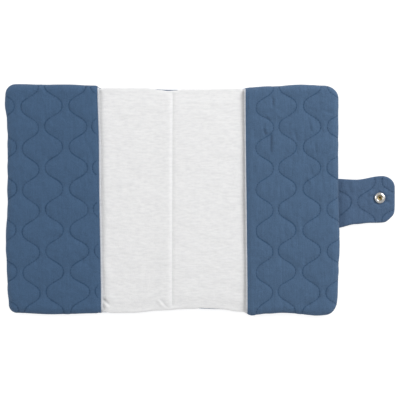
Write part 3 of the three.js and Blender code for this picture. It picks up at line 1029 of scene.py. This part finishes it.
def turned(name, profile, centre, material, cut=0.12, steps=72):
    """A lathed piece. profile goes once round its section, as (radius, height) points."""
    section = softened(profile, cut)
    closed = section[0][0] > 1e-6
    if closed:
        section = section[:-1]
    angles = np.linspace(0, 2 * math.pi, steps, endpoint=False)
    points = [
        (centre.x + r * math.cos(a), centre.y + r * math.sin(a), z) for r, z in section for a in angles
    ]
    index = np.arange(len(points)).reshape(len(section), steps)
    after = np.roll(index, -1, axis=1)
    follow = np.roll(index, -1, axis=0), np.roll(after, -1, axis=0)
    last = len(section) if closed else len(section) - 1
    faces = quads(index[:last], after[:last], follow[1][:last], follow[0][:last])
    piece = new_piece(name, np.array(points), faces, sharp=40)
    work = bmesh.new()
    work.from_mesh(piece.data)
    bmesh.ops.remove_doubles(work, verts=work.verts, dist=1e-7)
    work.to_mesh(piece.data)
    work.free()
    return dress(piece, material)


def build_snap():
    """The press fastener, with its stud on the left cover."""
    r = SNAP_RADIUS
    z0, z1 = socket_low.z, socket_high.z
    cavity, mouth, post = 3.5, 3.1, 2.2  # radii inside the socket
    socket = turned(
        "snap_socket_ring",
        [
            (post, z0), (r - 0.6, z0 - 0.15), (r, z0 + 0.3), (r, z0 + 0.9), (r - 0.35, z0 + 1.55),
            (r - 1.1, z1 - 0.25), (r - 1.9, z1), (mouth + 0.5, z1 - 0.1), (mouth, z1 - 0.4),
            (cavity, z1 - 0.55), (cavity, z0 + 0.4), (post, z0 + 0.4), (post, z0),
        ],
        SOCKET, NICKEL, cut=0.3,
    )
    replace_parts(socket, "snap_socket")
    roll = turned(
        "snap_post",
        [
            (1.15, cap_high.z - 0.1), (1.15, cap_low.z + 1.0), (1.8, cap_low.z + 1.0), (1.8, z0 + 0.45),
            (2.5, z0 + 0.45), (2.95, z0 + 0.75), (2.6, z0 + 1.0), (1.6, cap_high.z + 0.2),
            (1.15, cap_high.z - 0.1),
        ],
        SOCKET, BRASS, cut=0.2,
    )
    cap = turned(
        "snap_cap_dome",
        [
            (0, cap_low.z), (r - 2.5, cap_low.z + 0.08), (r - 0.6, cap_low.z + 0.35), (r, cap_low.z + 0.75),
            (r - 0.1, TAB_BOTTOM - 0.05), (r - 0.7, TAB_BOTTOM - 0.05), (r - 1.2, cap_low.z + 0.9),
            (0, cap_low.z + 0.75),
        ],
        SOCKET, NICKEL, cut=0.3,
    )
    for piece in (roll, cap):
        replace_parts(piece, "snap_cap")
    # A dark plug at the bottom of the post's hole: painted shadow.
    shadow_plug = turned(
        "snap_post_bore_shadow",
        [(0, cap_low.z + 0.9), (1.12, cap_low.z + 0.9), (1.12, z0 + 0.5), (0.9, z0 + 0.3), (0, z0)],
        SOCKET, SHADOW_BRASS, cut=0.1,
    )
    ring = build_spring()
    for piece in (socket, roll, cap, shadow_plug, ring):
        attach(piece, "tab_tip")

    tip, flange = stud_low.z, stud_high.z
    stud = turned(
        "snap_stud_bead",
        [
            (0, tip), (2.4, tip), (2.8, tip + 0.3), (2.5, tip + 0.8), (2.5, flange - 0.55),
            (r - 0.6, flange - 0.45), (r - 0.25, flange - 0.2), (r - 0.5, flange), (2.1, flange),
            (2.1, tip + 0.4), (0, tip + 0.4),
        ],
        STUD, NICKEL, cut=0.25,
    )
    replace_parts(stud, "snap_stud")
    backing = turned(
        "snap_stud_washer",
        [
            (1.2, backing_low.z), (1.8, backing_low.z), (1.8, backing_high.z - 0.5),
            (5.2, backing_high.z - 0.5), (5.2, backing_high.z), (1.2, backing_high.z), (1.2, backing_low.z),
        ],
        STUD, BRASS,
    )
    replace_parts(backing, "snap_stud_backing")
    for piece in (stud, backing):
        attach(piece, "left_cover")


def build_spring():
    """The split wire ring that grips the stud inside the socket."""
    wire = (spring_high.z - spring_low.z) / 2
    radius = (spring_high.y - spring_low.y) / 2 - wire
    half_gap = 0.18  # half the split, as an angle
    turns = np.linspace(half_gap, 2 * math.pi - half_gap, 60)
    sides = np.linspace(0, 2 * math.pi, 10, endpoint=False)
    along, around = np.meshgrid(turns, sides, indexing="ij")
    out = radius + wire * np.cos(around)
    x, y = SOCKET.x + out * np.cos(along), SOCKET.y + out * np.sin(along)
    middle = (spring_low.z + spring_high.z) / 2
    points = grid(x, y, middle + wire * np.sin(around))
    index = np.arange(points.shape[0] * points.shape[1]).reshape(points.shape[:2])
    after = np.roll(index, -1, axis=1)
    faces = quads(index[:-1], index[1:], after[1:], after[:-1]).tolist()
    faces += [index[0].tolist(), index[-1, ::-1].tolist()]
    piece = new_piece("snap_spring_ring", points.reshape(-1, 3), faces, sharp=50)
    dress(piece, BRASS)
    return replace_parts(piece, "snap_spring")


# --- floor, light and camera

# Distances here are in metres
VIEW_WIDTH = 0.452
VIEW_CENTRE = (0.0316, -0.0006)
CAMERA_HEIGHT = 2.4
SENSOR = 36
FLOOR_GLOW = 0.85
WORLD_LIGHT = 0.45


def build_stage():
    """A white floor, bright enough to render as plain white."""
    bpy.ops.mesh.primitive_plane_add(size=8, location=(0, 0, -0.0004))
    floor = bpy.context.object
    floor.name = "floor"
    n = Nodes("white_floor")
    n.shader.inputs["Emission Color"].default_value = (1, 1, 1, 1)
    grey = (0.3, 0.3, 0.3, 1)
    white = n.finish(Base_Color=grey, Roughness=0.95, Specular_IOR_Level=0.05, Emission_Strength=FLOOR_GLOW)
    floor.data.materials.append(white)


def area_light(name, place, size, power):
    """A round light that faces the pad's middle."""
    data = bpy.data.lights.new(name, "AREA")
    data.shape = "DISK"
    data.size = size
    data.energy = power
    light = bpy.data.objects.new(name, data)
    light.location = place
    light.rotation_euler = (-Vector(place)).to_track_quat("-Z", "Y").to_euler()
    bpy.context.scene.collection.objects.link(light)


def build_light():
    """White light all round, a key light on the right and a weaker one on the left."""
    world = bpy.data.worlds.new("studio")
    world.use_nodes = True
    background = world.node_tree.nodes["Background"]
    background.inputs["Color"].default_value = (1, 1, 1, 1)
    background.inputs["Strength"].default_value = WORLD_LIGHT
    bpy.context.scene.world = world
    area_light("key", (1.3, 0.9, 1.2), size=1.1, power=28)
    area_light("fill", (-1.3, 0.3, 1.2), size=1.2, power=10)


def build_camera():
    """Looks straight down, as the photo does."""
    data = bpy.data.cameras.new("camera")
    data.sensor_width = SENSOR
    data.lens = SENSOR * (CAMERA_HEIGHT - POCKET_TOP * MM / 2) / VIEW_WIDTH
    camera = bpy.data.objects.new("camera", data)
    camera.location = (*VIEW_CENTRE, CAMERA_HEIGHT)
    bpy.context.scene.collection.objects.link(camera)
    bpy.context.scene.camera = camera


# --- the pad

for cover in ("right", "left"):
    build_pocket(cover)
    quilted_cover = build_cover(cover)
    build_lining(cover)
    build_film(cover)
build_tab()
build_snap()
build_stage()
build_light()
build_camera()
bpy.context.scene.view_settings.view_transform = "Standard"
